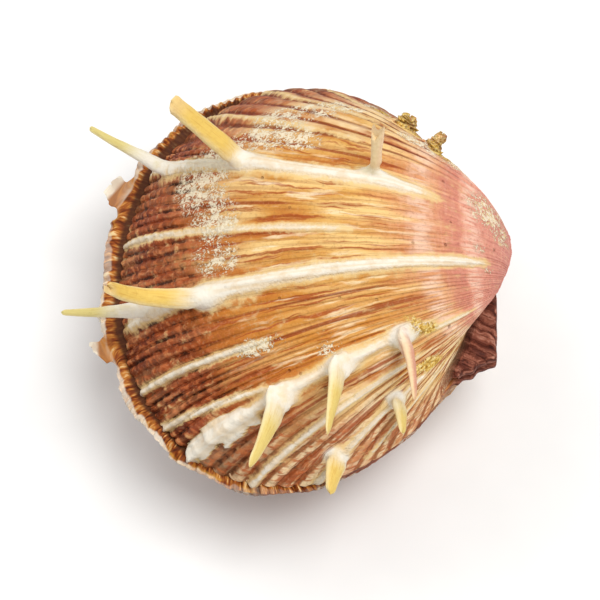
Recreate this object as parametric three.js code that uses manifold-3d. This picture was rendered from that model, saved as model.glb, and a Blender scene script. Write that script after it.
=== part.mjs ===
// A spiny oyster shell: two thick, ribbed valves that lie closed on each other, in millimetres, +Z up.
// The shell rests on the flat scar of its lower valve, where it grew on rock. +X points to the beaks.
import * as THREE from "three";
import { mergeVertices } from "three/addons/utils/BufferGeometryUtils.js";
import Module from "manifold-3d";

const wasm = await Module();
wasm.setup();

const FULL_TURN = 360;
const DEGREE = (2 * Math.PI) / FULL_TURN;
const MERGE_DISTANCE = 0.001;

// The plane where the valves meet, the hinge line in it, and the parting between the valves.
const MEETING_Z = 28.5;
const HINGE_X = 39.5;
const PARTING = 0.3;

// A valve grows by widening its opening's outline from the hinge and turning it about the hinge line.
// length: hinge to the edge opposite. near, far: half breadth on each side, with how much each side widens
// away from the hinge. coil: growth for each radian of turn. swell, swellReach: extra turn just inside
// the edge. skew: how far the beak leans to the near side. farBroad: extra breadth of its far flank.
const UPPER = {
  up: 1,
  hinge: HINGE_X,
  length: 80.5,
  near: 50,
  nearWiden: 0.06,
  far: 50.5,
  farWiden: -0.02,
  coil: 0.96,
  swell: 10,
  swellReach: 0.29,
  skew: 30,
  farBroad: 0.22,
};
const LOWER = { ...UPPER, up: -1, length: 84, near: 52, nearWiden: 0.02, far: 50, farWiden: 0.1, skew: 20 };

// The hollow of a valve is a smaller dome, set in from the hinge plate and the edge.
const HINGE_PLATE = 13;
const EDGE_WALL = 4;
const SIDE_WALL = 4.5;
const HOLLOW_COIL = 0.9;
const HOLLOW_OVERRUN = 1;

// Growth runs from the beak, where the valve began, to 1 at its edge.
const BEAK_GROWTH = 0.1;
const UPPER_RINGS = 18;
const LOWER_RINGS = 14;
const HOLLOW_RINGS = 9;
const HOLLOW_COLUMNS = 40;

// Main ribs by their angle around the opening: 0 is opposite the hinge, negative is the near side.
const RIBS = [-162, -142, -120, -98, -77, -53, -34, -11, 11, 36, 57, 79, 101, 122, 142, 162];
const UPPER_COLUMNS_PER_RIB = 6;
const LOWER_COLUMNS_PER_RIB = 4;
const RIB_HEIGHT = 1;
const RIBLET_HEIGHT = 0.35;
const GROOVE_DEPTH = 0.35;

// Ears: the thin wings that lengthen the hinge line, as an outline [x, y] with the longer ear on the near
// side, and a thickness.
const EAR_OUTLINE = [
  [25, -15],
  [31, -29],
  [42.2, -23.2],
  [43, -9],
  [43, 9],
  [42.4, 17],
  [32, 23],
  [25, 15],
];
const EAR_THICKNESS = 3.2;
const EAR_CHAMFER = 0.8;

// Spines of the upper valve, each on a rib at a growth: lean is from the surface normal towards the
// edge, aside is towards the near side, curl is the lean lost from root to tip.
const SPINES = [
  { rib: 37, growth: 0.47, length: 13, lean: 2, aside: -6, curl: 0, width: 2.4, depth: 1.8, tip: 0.6 },
  { rib: 36, growth: 0.72, length: 23, lean: 26, aside: 9, curl: -14, width: 5, depth: 3.2, tip: 0.8 },
  { rib: 34, growth: 0.89, length: 22, lean: 36, aside: 8, curl: -10, width: 4, depth: 3, tip: 0.5 },
  { rib: -11, growth: 0.77, length: 24.5, lean: 40, aside: 2, curl: 50, width: 4.8, depth: 3.2, tip: 0.6 },
  { rib: -10, growth: 0.9, length: 18.5, lean: 34, aside: 6, curl: 0, width: 3.4, depth: 2.6, tip: 0.55 },
  { rib: -50, growth: 0.52, length: 17, lean: 12, aside: 38, curl: 10, width: 2.8, depth: 2.2, tip: 0.4 },
  { rib: -53, growth: 0.64, length: 18.5, lean: 30, aside: 28, curl: -14, width: 4.6, depth: 3, tip: 0.5 },
  { rib: -53, growth: 0.77, length: 21, lean: 29, aside: 19, curl: -14, width: 5.4, depth: 3.2, tip: 0.45 },
  { rib: -53, growth: 0.9, length: 7, lean: 62, aside: -4, curl: 0, width: 4.5, depth: 2.2, tip: 0.5 },
  { rib: -98, growth: 0.71, length: 8.5, lean: 24, aside: 2, curl: 0, width: 4, depth: 2.2, tip: 0.35 },
  { rib: -95, growth: 0.9, length: 11, lean: 25, aside: -8, curl: 0, width: 4.6, depth: 2.8, tip: 0.5 },
  { rib: 115, growth: 0.75, length: 5.5, lean: 0, aside: 5, curl: 0, width: 4.2, depth: 3, tip: 0.6 },
  { rib: 130, growth: 0.8, length: 5.5, lean: -8, aside: 4, curl: 0, width: 3.4, depth: 2.6, tip: 0.6 },
];
const SPINE_ROOT = 2.5;
const SPINE_STEPS = 5;
const SPINE_SIDES = 6;
const ROOT_FLARE = 0.7;
const ROOT_FLARE_REACH = 0.16;

// Short frilled scales of the lower valve: rows of them low on every other rib, and two at the edge.
const SCALE = { length: 5, lean: 58, aside: 0, curl: 16, width: 4.6, depth: 2, tip: 0.6 };
const SCALE_ROWS = [0.72, 0.84];
const SCALED_RIBS = RIBS.filter((rib) => rib > -80 && rib < 105);
const EDGE_SCALES = [
  { rib: 26, growth: 0.96, length: 8, lean: 52, width: 6 },
  { rib: -17, growth: 0.97, length: 5.5, lean: 54, width: 6 },
];

// Size of the slabs that trim the valves flat, larger than the shell.
const SLAB_SIZE = 300;

// Tan upper valve, brown lower valve, both dull as worn shell is.
const UPPER_COLOR = "#cf9a6a";
const LOWER_COLOR = "#93532f";
const ROUGHNESS = 0.6;

// A growth point of a valve: the opening's outline at the angle, shrunk to the growth, leaned aside,
// and turned about the hinge line away from the meeting plane.
function growthPoint(valve, rib, growth) {
  const angle = rib * DEGREE;
  const back = -0.5 * valve.length * (1 + Math.cos(angle));
  const isFar = Math.sin(angle) > 0;
  const half = isFar ? valve.far : valve.near;
  const widen = isFar ? valve.farWiden : valve.nearWiden;
  const broad = isFar ? 1 + valve.farBroad * (1 - growth) : 1;
  const across = half * broad * Math.sin(angle) * (1 + widen * Math.cos(angle));
  const skew = valve.skew * DEGREE * (1 - growth) * Math.cos(angle / 2) ** 2;
  const reach = growth * (back * Math.cos(skew) - across * Math.sin(skew));
  const aside = growth * (back * Math.sin(skew) + across * Math.cos(skew));
  const swell = valve.swell * DEGREE * (1 - Math.exp((growth - 1) / valve.swellReach));
  const turn = swell - Math.log(growth) / valve.coil;
  const height = PARTING / 2 - reach * Math.sin(turn);
  return new THREE.Vector3(valve.hinge + reach * Math.cos(turn), aside, MEETING_Z + valve.up * height);
}

// The directions at a growth point: out of the shell, along the rib to the edge, and to the near side.
function growthFrame(valve, rib, growth) {
  const step = 0.001;
  const edgeward = growthPoint(valve, rib, growth).sub(growthPoint(valve, rib, growth - step)).normalize();
  const turnwise = growthPoint(valve, rib + step, growth).sub(growthPoint(valve, rib - step, growth));
  const outward = turnwise.cross(edgeward).multiplyScalar(valve.up).normalize();
  const nearward = outward.clone().cross(edgeward).multiplyScalar(valve.up);
  return { outward, edgeward, nearward };
}

// Rib angles with riblets between them: each step holds its angle and its height above the plain dome.
function ribColumns(perRib) {
  const columns = [];
  RIBS.forEach((rib, index) => {
    const next = index + 1 < RIBS.length ? RIBS[index + 1] : RIBS[0] + FULL_TURN;
    for (let step = 0; step < perRib; step += 1) {
      const crest = step % 2 === 0 ? RIBLET_HEIGHT : -GROOVE_DEPTH;
      const angle = rib + ((next - rib) * step) / perRib;
      columns.push({ angle, height: step === 0 ? RIB_HEIGHT : crest });
    }
  });
  return columns;
}

// Growth steps from the beak to the edge, between even steps and even ratios.
function growthSteps(count) {
  return Array.from({ length: count }, (unused, index) => {
    const part = index / (count - 1);
    const even = BEAK_GROWTH + (1 - BEAK_GROWTH) * part;
    const ratio = BEAK_GROWTH ** (1 - part);
    return (even + ratio) / 2;
  });
}

// A closed solid through rings of equal count, with a fan over each end ring.
function loft(rings) {
  const count = rings[0].length;
  const total = (ring) => ring.reduce((sum, point) => sum.add(point), new THREE.Vector3());
  const middle = (ring) => total(ring).divideScalar(count);
  const points = [...rings.flat(), middle(rings[0]), middle(rings.at(-1))];
  const first = points.length - 2;
  const last = points.length - 1;
  const faces = [];
  for (let side = 0; side < count; side += 1) {
    const next = (side + 1) % count;
    for (let ring = 0; ring + 1 < rings.length; ring += 1) {
      const low = ring * count;
      const high = low + count;
      faces.push([low + side, low + next, high + next], [low + side, high + next, high + side]);
    }
    const end = (rings.length - 1) * count;
    faces.push([next, side, first], [end + side, end + next, last]);
  }
  return solid(points, faces);
}

// A solid from points and lists of triangle corners, facing out: equal points are merged, and triangles
// that close up are dropped.
function solid(points, faces) {
  const loose = new THREE.BufferGeometry().setFromPoints(points);
  loose.setIndex(faces.flat());
  const merged = mergeVertices(loose, MERGE_DISTANCE);
  const index = merged.index.array;
  const kept = [];
  for (let start = 0; start < index.length; start += 3) {
    const [a, b, c] = index.slice(start, start + 3);
    if (a !== b && b !== c && c !== a) kept.push(a, b, c);
  }
  const vertProperties = merged.attributes.position.array;
  const mesh = { numProp: 3, vertProperties, triVerts: new Uint32Array(kept) };
  const made = new wasm.Manifold(new wasm.Mesh(mesh));
  if (made.volume() > 0) return made;
  for (let start = 0; start < kept.length; start += 3) {
    [mesh.triVerts[start + 1], mesh.triVerts[start + 2]] = [kept[start + 2], kept[start + 1]];
  }
  return new wasm.Manifold(new wasm.Mesh(mesh));
}

// The ribbed outside of a valve, closed by the meeting plane. The relief fades out at the hinge, where
// all growth lines meet in one point.
function ribbedDome(valve, ringCount, columnsPerRib) {
  const columns = ribColumns(columnsPerRib);
  const rings = growthSteps(ringCount).map((growth) =>
    columns.map(({ angle, height }) => {
      const point = growthPoint(valve, angle, growth);
      const fade = Math.cos((angle * DEGREE) / 2) ** 2;
      if (fade < Number.EPSILON) return point;
      const level = point.z;
      point.addScaledVector(growthFrame(valve, angle, growth).outward, height * fade * Math.sqrt(growth));
      if (growth === 1) point.z = level;
      return point;
    }),
  );
  return loft(rings);
}

// The smooth hollow of a valve, run a little past the meeting plane so that it opens there.
function hollowDome(valve) {
  const hollow = {
    ...valve,
    hinge: HINGE_X - HINGE_PLATE,
    length: UPPER.length - HINGE_PLATE - EDGE_WALL,
    near: UPPER.near - SIDE_WALL,
    far: UPPER.far - SIDE_WALL,
    coil: HOLLOW_COIL,
  };
  const spacing = FULL_TURN / HOLLOW_COLUMNS;
  const angles = Array.from({ length: HOLLOW_COLUMNS }, (unused, index) => index * spacing - FULL_TURN / 2);
  const rings = growthSteps(HOLLOW_RINGS).map((growth) =>
    angles.map((angle) => growthPoint(hollow, angle, growth)),
  );
  const beyond = new THREE.Vector3(0, 0, -valve.up * HOLLOW_OVERRUN);
  return loft([...rings, rings.at(-1).map((point) => point.clone().add(beyond))]);
}

// The hinge plate of a valve with an ear at each end, thinner towards its outer face.
function ears(valve) {
  const outline = EAR_OUTLINE.map(([x, y]) => new THREE.Vector2(x, y));
  const centre = outline.reduce((sum, corner) => sum.add(corner), new THREE.Vector2());
  centre.divideScalar(outline.length);
  const level = (rise, inset) =>
    outline.map((corner) => {
      const shrunk = corner.clone().addScaledVector(corner.clone().sub(centre).normalize(), -inset);
      return new THREE.Vector3(shrunk.x, shrunk.y, MEETING_Z + valve.up * (PARTING / 2 + rise));
    });
  return loft([level(0, 0), level(EAR_THICKNESS - EAR_CHAMFER, 0), level(EAR_THICKNESS, EAR_CHAMFER)]);
}

// A spine: a flattened section carried along a path that starts inside the shell, flared at its root.
function spine(valve, { rib, growth, length, lean, aside, curl, width, depth, tip }) {
  const { outward, edgeward, nearward } = growthFrame(valve, rib, growth);
  const heading = (part) => {
    const tilt = (lean + curl * (0.5 - part)) * DEGREE;
    const rise = outward.clone().multiplyScalar(Math.cos(tilt)).addScaledVector(edgeward, Math.sin(tilt));
    const sideways = aside * DEGREE;
    return rise.multiplyScalar(Math.cos(sideways)).addScaledVector(nearward, Math.sin(sideways));
  };
  const root = SPINE_ROOT / heading(0).dot(outward);
  const place = growthPoint(valve, rib, growth).addScaledVector(heading(0), -root);
  const rings = [];
  for (let step = 0; step <= SPINE_STEPS; step += 1) {
    const part = step / SPINE_STEPS;
    const along = heading(part);
    const wide = nearward.clone().addScaledVector(along, -nearward.dot(along)).normalize();
    const deep = wide.clone().cross(along);
    const flare = ROOT_FLARE * Math.exp(-part / ROOT_FLARE_REACH);
    const taper = 1 + flare - (1 - tip) * part;
    const ring = [];
    for (let side = 0; side < SPINE_SIDES; side += 1) {
      const turn = (side * 2 * Math.PI) / SPINE_SIDES;
      const corner = place.clone().addScaledVector(wide, 0.5 * width * taper * Math.cos(turn));
      ring.push(corner.addScaledVector(deep, 0.5 * depth * taper * Math.sin(turn)));
    }
    rings.push(ring);
    place.addScaledVector(heading(part + 0.5 / SPINE_STEPS), (length + root) / SPINE_STEPS);
  }
  return loft(rings);
}

// A slab that fills one side of a level plane, for trimming a valve flat there.
function slab(level, up) {
  const geometry = new THREE.BoxGeometry(SLAB_SIZE, SLAB_SIZE, SLAB_SIZE);
  geometry.translate(0, 0, level + (up * SLAB_SIZE) / 2);
  const corners = geometry.attributes.position;
  const points = Array.from({ length: corners.count }, (unused, index) =>
    new THREE.Vector3().fromBufferAttribute(corners, index),
  );
  return solid(points, [Array.from(geometry.index.array)]);
}

// A named mesh of a finished solid.
function piece(name, made, color) {
  const { vertProperties, triVerts } = made.getMesh();
  const geometry = new THREE.BufferGeometry();
  geometry.setAttribute("position", new THREE.BufferAttribute(new Float32Array(vertProperties), 3));
  geometry.setIndex(new THREE.BufferAttribute(new Uint32Array(triVerts), 1));
  geometry.computeVertexNormals();
  const material = new THREE.MeshStandardMaterial({ color, roughness: ROUGHNESS, metalness: 0 });
  const mesh = new THREE.Mesh(geometry, material);
  mesh.name = name;
  return mesh;
}

// The upper valve: the ribbed dome with its ears and long spines, trimmed at the meeting plane.
let upper = ribbedDome(UPPER, UPPER_RINGS, UPPER_COLUMNS_PER_RIB).add(ears(UPPER));
SPINES.forEach((one) => {
  upper = upper.add(spine(UPPER, one));
});
upper = upper.subtract(hollowDome(UPPER)).subtract(slab(MEETING_Z + PARTING / 2, -1));

// The lower valve: a wider dome with frilled scales, trimmed at the meeting plane and cut flat below.
let lower = ribbedDome(LOWER, LOWER_RINGS, LOWER_COLUMNS_PER_RIB).add(ears(LOWER));
SCALE_ROWS.forEach((growth, row) => {
  SCALED_RIBS.filter((rib, index) => index % 2 === row).forEach((rib) => {
    lower = lower.add(spine(LOWER, { ...SCALE, rib, growth }));
  });
});
EDGE_SCALES.forEach((one) => {
  lower = lower.add(spine(LOWER, { ...SCALE, ...one }));
});
lower = lower.subtract(hollowDome(LOWER)).subtract(slab(MEETING_Z - PARTING / 2, 1)).subtract(slab(0, -1));

const shell = new THREE.Group();
shell.add(piece("upper_valve", upper, UPPER_COLOR));
shell.add(piece("lower_valve", lower, LOWER_COLOR));

export default shell;
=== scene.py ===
import bpy
import numpy as np
from mathutils import Matrix, Vector


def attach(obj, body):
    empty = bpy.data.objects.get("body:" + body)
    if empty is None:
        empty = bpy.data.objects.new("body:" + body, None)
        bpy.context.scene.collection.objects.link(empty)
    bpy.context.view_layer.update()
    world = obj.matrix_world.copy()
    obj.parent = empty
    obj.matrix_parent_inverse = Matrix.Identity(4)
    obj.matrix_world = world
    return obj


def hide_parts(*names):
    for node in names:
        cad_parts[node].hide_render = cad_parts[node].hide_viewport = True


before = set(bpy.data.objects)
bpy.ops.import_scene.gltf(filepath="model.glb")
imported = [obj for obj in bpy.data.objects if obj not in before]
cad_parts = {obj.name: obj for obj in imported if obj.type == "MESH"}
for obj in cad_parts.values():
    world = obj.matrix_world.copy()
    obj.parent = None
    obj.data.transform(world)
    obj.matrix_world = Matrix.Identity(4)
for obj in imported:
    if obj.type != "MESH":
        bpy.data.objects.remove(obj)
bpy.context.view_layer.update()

# Lower valve: the half that grew cemented to rock, a deep cup of layered calcite with scaly ribs outside and
# a porcelain-like hollow. It is cut flat at the scar it rests on. Its edge stands out beyond the upper
# valve's as a crenulated lip, and both ears of the hinge are grown in one with it.
MM = 0.001
MEETING = 28.5
PARTING = 0.3
HINGE = 39.5
BEAK = 0.1
LOWER = {
    "up": -1, "hinge": HINGE, "length": 84, "near": 52, "near_widen": 0.02, "far": 50, "far_widen": 0.1,
    "far_broad": 0.22, "coil": 0.96, "swell": 10, "swell_reach": 0.29, "skew": 20, "beak_reach": 0.35,
    "broad_below": 0, "broad_above": 128,
}
HOLLOW = {"hinge": HINGE - 13, "length": 63.5, "near": 45.5, "far": 46, "coil": 0.9}
RIBS = [-162, -142, -120, -98, -77, -53, -34, -11, 11, 36, 57, 79, 101, 122, 142, 162]
RIBLETS = 8
COLUMNS_PER_RIBLET = 5
SKIN_RINGS = 118
HOLLOW_RINGS = 12
RIM_RINGS = 8
RIB_STOPS = np.array([-180, *RIBS, 180])
COUNT_STOPS = np.array([0, *(RIBLETS * (np.arange(len(RIBS)) + 0.5)), RIBLETS * len(RIBS)])


def ease(value, low, high):
    """Smooth step from 0 at low to 1 at high."""
    part = np.clip((value - low) / (high - low), 0, 1)
    return part * part * (3 - 2 * part)


def mottle(along, across, seed):
    """Random heights of -1 to 1 at the whole numbers of two coordinates, eased from one to the next."""
    side = 128
    heights = np.random.default_rng(seed).uniform(-1, 1, (side, side))
    low_a, low_b = np.floor(along).astype(int), np.floor(across).astype(int)
    part_a, part_b = ease(along - low_a, 0, 1), ease(across - low_b, 0, 1)
    row, next_row = low_a % side, (low_a + 1) % side
    column, next_column = low_b % side, (low_b + 1) % side
    near = heights[row, column] * (1 - part_b) + heights[row, next_column] * part_b
    beyond = heights[next_row, column] * (1 - part_b) + heights[next_row, next_column] * part_b
    return near * (1 - part_a) + beyond * part_a


def grown_point(valve, rib, growth):
    """
    Point of a valve in mm. The edge is an oval through the hinge, drawn by the angle rib. Growth shrinks it
    towards the hinge, swings the beak aside and turns it about the hinge line, by a swelling near the edge
    plus the logarithm of growth, as a shell coils.
    """
    angle = np.radians(rib)
    far = np.sin(angle) > 0
    half = np.where(far, valve["far"] * (1 + valve["far_broad"] * (1 - growth)), valve["near"])
    widen = np.where(far, valve["far_widen"], valve["near_widen"])
    back = -0.5 * valve["length"] * (1 + np.cos(angle))
    across = half * np.sin(angle) * (1 + widen * np.cos(angle))
    skew = np.radians(valve["skew"]) * (1 - growth) * np.cos(angle / 2) ** 2
    reach = growth * (back * np.cos(skew) - across * np.sin(skew))
    aside = growth * (back * np.sin(skew) + across * np.cos(skew))
    swelling = np.radians(valve["swell"]) * (1 - np.exp((growth - 1) / valve["swell_reach"]))
    turn = swelling - np.log(growth) / valve["coil"]
    height = PARTING / 2 - reach * np.sin(turn)
    return np.stack([valve["hinge"] + reach * np.cos(turn), aside, MEETING + valve["up"] * height], -1)


def unit(vectors):
    """Vectors divided by their lengths."""
    return vectors / np.maximum(np.linalg.norm(vectors, axis=-1, keepdims=True), 1e-12)


def grown_frame(valve, rib, growth):
    """Unit vectors outward, towards the edge and towards the near side, from steps along rib and growth."""
    rib_step, growth_step = 0.05, 0.001
    round_rib = grown_point(valve, rib + rib_step, growth) - grown_point(valve, rib - rib_step, growth)
    edgeward = grown_point(valve, rib, growth + growth_step) - grown_point(valve, rib, growth - growth_step)
    outward = unit(valve["up"] * np.cross(round_rib, edgeward))
    edgeward = unit(edgeward)
    return outward, edgeward, valve["up"] * np.cross(outward, edgeward)


def patch(rib, growth, spots):
    """Strength of 0 to 1 round spots of (rib, growth, half breadth, half length): the sum of round bells."""
    strength = 0 * rib
    for middle, grown, broad, long in spots:
        strength = strength + np.exp(-(((rib - middle) / broad) ** 2) - ((growth - grown) / long) ** 2)
    return np.clip(strength, 0, 1)


def rib_course(rib, growth, course):
    """
    Strength of 0 to 1 of one rib: a bell across its line, which runs from its angle at half growth to its
    angle at the edge. The bell keeps its breadth as the shell grows, and is eased in and out along the rib.
    """
    half_grown, at_edge, begins, ends, width, _, _ = course
    middle = half_grown + (at_edge - half_grown) * (growth - 0.5) / 0.5
    along = ease(growth, begins - 0.04, begins + 0.05) * (1 - ease(growth, ends - 0.03, ends + 0.03))
    return np.exp(-(((rib - middle) * np.maximum(growth, 0.5) / width) ** 2)) * along


NEAR_SLOWED = 0.5
FAR_SLOWED = 0.64
RIBLET_SWAY = 0.26


def broadened(valve, count):
    """Riblet count that rises more slowly on both flanks, where riblets are two to three times as broad."""
    near = NEAR_SLOWED * np.minimum(count - valve["broad_below"], 0)
    return count - near - FAR_SLOWED * np.maximum(count - valve["broad_above"], 0)


def wandering(count, growth, seed):
    """Riblet count, pushed up to a quarter aside in slow waves, so that no two riblets are equally broad."""
    return count + RIBLET_SWAY * mottle(count * 0.45, growth * 5, seed)


def ribbing(count, growth, height, seed):
    """Riblets: one rounded crest at each whole count, uneven from crest to crest, cut by narrow grooves."""
    crest = np.abs(np.cos(np.pi * wandering(count, growth, seed))) ** 0.8
    uneven = 1 + 0.45 * mottle(count * 0.9, growth * 7, seed)
    return height * uneven * (crest - 0.5)


def lamellae(count, growth, spacing, height, seed):
    """Growth layers: a saw tooth along the growth that climbs to each wavy edge and drops beyond it."""
    wave = 0.35 * mottle(count * 0.55, growth * 9, seed)
    step = growth * spacing + wave
    return height * ((step - np.floor(step)) ** 2 - 0.33)


# What a mesh carries for its material, three numbers a layer. growing: riblet count, growth, depth inside.
# marks: white, crust, moss, or on the lower valve crest, fringe. spine: colour along it, edge, tint.
# places: hinge brown with painted shade, dark line or scar, and 1 on what has grown on the skin.
LAYERS = ("growing", "marks", "spine", "places")


def closed_rings(name, rings, layers):
    """Mesh of rings of points in mm, joined ring to ring and round each one, with a pole closing each end."""
    count, columns = rings.shape[:2]
    index = np.arange(count * columns).reshape(count, columns)
    beside = np.roll(index, -1, 1)
    quads = np.stack([index[:-1], beside[:-1], beside[1:], index[1:]], -1).reshape(-1, 4)
    first = np.stack([beside[0], index[0], np.full(columns, count * columns)], -1)
    last = np.stack([index[-1], beside[-1], np.full(columns, count * columns + 1)], -1)

    def with_poles(values):
        """Values ring by ring, followed by the mean of the first ring and of the last one."""
        return np.concatenate([values.reshape(-1, 3), [values[0].mean(0), values[-1].mean(0)]])

    points = with_poles(rings)
    halves = np.concatenate([quads[:, :3], quads[:, [0, 2, 3]], first, last])
    corner = points[halves] - points.mean(0)
    if np.einsum("ij,ij->i", corner[:, 0], np.cross(corner[:, 1], corner[:, 2])).sum() < 0:
        quads, first, last = quads[:, ::-1], first[:, ::-1], last[:, ::-1]
    mesh = bpy.data.meshes.new(name)
    mesh.from_pydata((points * MM).tolist(), [], quads.tolist() + first.tolist() + last.tolist())
    corners = np.zeros(len(mesh.loops), dtype=np.int32)
    mesh.loops.foreach_get("vertex_index", corners)
    for layer, values in layers.items():
        kept = mesh.attributes.new(layer, "FLOAT_VECTOR", "CORNER")
        kept.data.foreach_set("vector", with_poles(values)[corners].astype(np.float32).ravel())
    piece = bpy.data.objects.new(name, mesh)
    bpy.context.scene.collection.objects.link(piece)
    return piece


def stacked(rings, x, y, z):
    """Three numbers for each point of the rings, as one array of vectors."""
    shape = rings.shape[:2]
    return np.stack([np.broadcast_to(np.asarray(part, float), shape) for part in (x, y, z)], -1)


def skin_grid():
    """Rib angle and riblet count of each column, and growth of each ring, closest together at the edge."""
    columns = RIBLETS * len(RIBS) * COLUMNS_PER_RIBLET
    count = (np.arange(columns) + 0.5) / COLUMNS_PER_RIBLET
    steps = np.linspace(0, 1, SKIN_RINGS)
    growth = BEAK + (1 - BEAK) * (1 - (1 - steps) ** 1.2)
    return np.interp(count, COUNT_STOPS, RIB_STOPS), count, growth[:, None]


def valve_rings(valve, relief, rim_height):
    """
    Rings of a whole valve: its skin raised outward by relief, the rim from the edge in to the hollow, and the
    hollow, which is the same growth on a smaller outline. The skin keeps clear of the meeting plane but for
    its edge. Also how far into the valve each ring is, 0 to 2.
    """
    rib, count, growth = skin_grid()
    outward, _, _ = grown_frame(valve, rib, growth)
    skin = grown_point(valve, rib, growth) + outward * relief(rib, count, growth)[..., None]
    level = MEETING + valve["up"] * PARTING / 2
    clearance = 0.5 * ease(1 - growth, 0, 0.02) + 10 * (1 - growth)
    skin[..., 2] = level + valve["up"] * np.maximum(valve["up"] * (skin[..., 2] - level), clearance)
    skin[-1, :, 2] = level
    past_hinge = np.maximum(skin[..., 0] - HINGE, 0)
    skin[..., 0] = skin[..., 0] - past_hinge * (1 - valve["beak_reach"])
    hollow = {**valve, **HOLLOW}
    inner = grown_point(hollow, rib, np.linspace(1, BEAK, HOLLOW_RINGS)[:, None])
    inward = (np.linspace(0, 1, RIM_RINGS + 2)[1:-1, None]) ** 1.6
    rim = skin[-1] + (inner[0] - skin[-1]) * inward[..., None]
    rim[..., 2] = level + rim_height(rib, count, inward, np.linalg.norm(inner[0] - skin[-1], axis=-1))
    depth = np.concatenate([0 * growth[:, 0], inward[:, 0], 1 + np.linspace(0.02, 1, HOLLOW_RINGS)])
    grown = np.concatenate([growth[:, 0], np.ones(RIM_RINGS), np.linspace(1, BEAK, HOLLOW_RINGS)])
    return np.concatenate([skin, rim, inner]), rib, count, grown[:, None], depth[:, None]


EAR_OUTLINE = [
    (25, -15), (31, -29), (42.2, -23.2), (43, -9), (43, 9), (42.4, 17), (32, 23), (25, 15),
]
EAR_MIDDLE = np.array([34.5, -1.5])
EAR_THICKNESS = 3.2
EAR_STEPS = 26
EAR_RAGGED = 0.03
EAR_RELIEF = 0.3
EAR_INSET = np.array([0.5, 0.93, 0.985, 1, 0.995, 0.97, *np.linspace(0.93, 0.2, 30)])[:, None]
EAR_CLIMB = np.array([0, 0, 0.03, 0.2, 0.62, 0.88, 0.97, *np.ones(29)])[:, None]
EAR_RIBLETS = (7, 121)
EAR_LAYERING = 0.66
EAR_GROWTH = 0.93
FREE_ACROSS, FREE_BACK, FREE_SOFTENED = 0.889, 0.46, 5


def ear_plate(name, up):
    """
    Both ears as one plate: the outline, softened at its corners and a little torn, carried from the plate's
    meeting face over a rounded edge and in to the middle, with crinkled layers along each ear's free side.
    """
    corners = np.array(EAR_OUTLINE, float)
    part = np.linspace(0, 1, EAR_STEPS, endpoint=False)[:, None]
    outline = np.concatenate([a + (b - a) * part for a, b in zip(corners, np.roll(corners, -1, 0))])
    outline = sum(np.roll(outline, shift, 0) for shift in range(-1, 2)) / 3
    torn = 1 + EAR_RAGGED * mottle(outline[:, 0] * 0.55, outline[:, 1] * 0.55, 14)
    outline = EAR_MIDDLE + (outline - EAR_MIDDLE) * torn[:, None]
    plan = EAR_MIDDLE + (outline - EAR_MIDDLE) * EAR_INSET[..., None]
    free_side = FREE_ACROSS * np.hypot(plan[..., 1], FREE_SOFTENED) - FREE_BACK * plan[..., 0]
    crinkle = mottle(plan[..., 0] * 0.8, plan[..., 1] * 0.8, 12)
    layered = mottle(free_side * 1.1 + 0.9 * crinkle, plan[..., 0] * 0.25, 11) + 0.4 * crinkle
    height = EAR_CLIMB * (EAR_THICKNESS + EAR_RELIEF * layered * ease(EAR_CLIMB, 0.5, 1))
    rings = np.concatenate([plan, (MEETING + up * (PARTING / 2 + height))[..., None]], -1)
    riblet = np.where(plan[..., 1] < 0, *EAR_RIBLETS) + free_side * EAR_LAYERING
    layers = {
        "growing": stacked(rings, riblet, EAR_GROWTH, 0),
        "marks": stacked(rings, 0, 0, 0),
        "spine": stacked(rings, 0, 0, 0),
        "places": stacked(rings, 1, 0, 1),
    }
    return closed_rings(name, rings, layers)


SPINE_COLUMNS = 20
SPINE_RINGS = 30
SPINE_RAMP = 0.36
SPINE_FLARE = 1.4
SPINE_FLARE_REACH = 0.18
SPINE_HUMP = 0.6
PALE_ROOTED = 10.5
MM_PER_DEGREE = 0.87
MM_PER_GROWTH = 95
SPINE_FIELDS = (
    "rib", "growth", "length", "lean", "aside", "curl", "width", "depth", "tip", "ragged", "fork", "white",
    "tint",
)


def hinge_and_painted_shade(rings, rib, up):
    """Strength of 0 to 1 of hinge brown and painted shade: at a valve's back, beside the ears and under the
    beak.
    """
    height = up * (rings[..., 2] - MEETING)
    # Painted shade: the valve's skin just beside the ear plates takes the hinge's dark brown.
    painted_shade_beside_ears = ease(height, EAR_THICKNESS + 1.6, EAR_THICKNESS)
    # Under the beak: the hinge area's own brown, spread over the pocket there as painted shade.
    hinge_and_shade_under_beak = ease(np.abs(rib), 138, 152)
    return np.maximum(painted_shade_beside_ears, hinge_and_shade_under_beak) * ease(rings[..., 0], 31, 36)


def spine_humps(rib, growth, rows):
    """
    How far the rib climbs to the spines on it: a ridge as broad as the spine, rising along the growth to
    each spine's root and falling off steeply beyond it.
    """
    raised = 0 * (rib + growth)
    for row in rows:
        size = dict(zip(SPINE_FIELDS, row))
        run = 0.55 * size["length"]
        along = (growth - size["growth"]) * MM_PER_GROWTH
        across = (rib - size["rib"]) * growth * MM_PER_DEGREE
        broad = 0.62 * size["width"] * (0.6 + 0.5 * ease(along, -run, 0))
        climb = ease(along, -run, 0.5) * (1 - ease(along, 0.5, 3.5))
        raised = raised + SPINE_HUMP * size["depth"] * climb * np.exp(-((across / broad) ** 2))
    return raised


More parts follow.
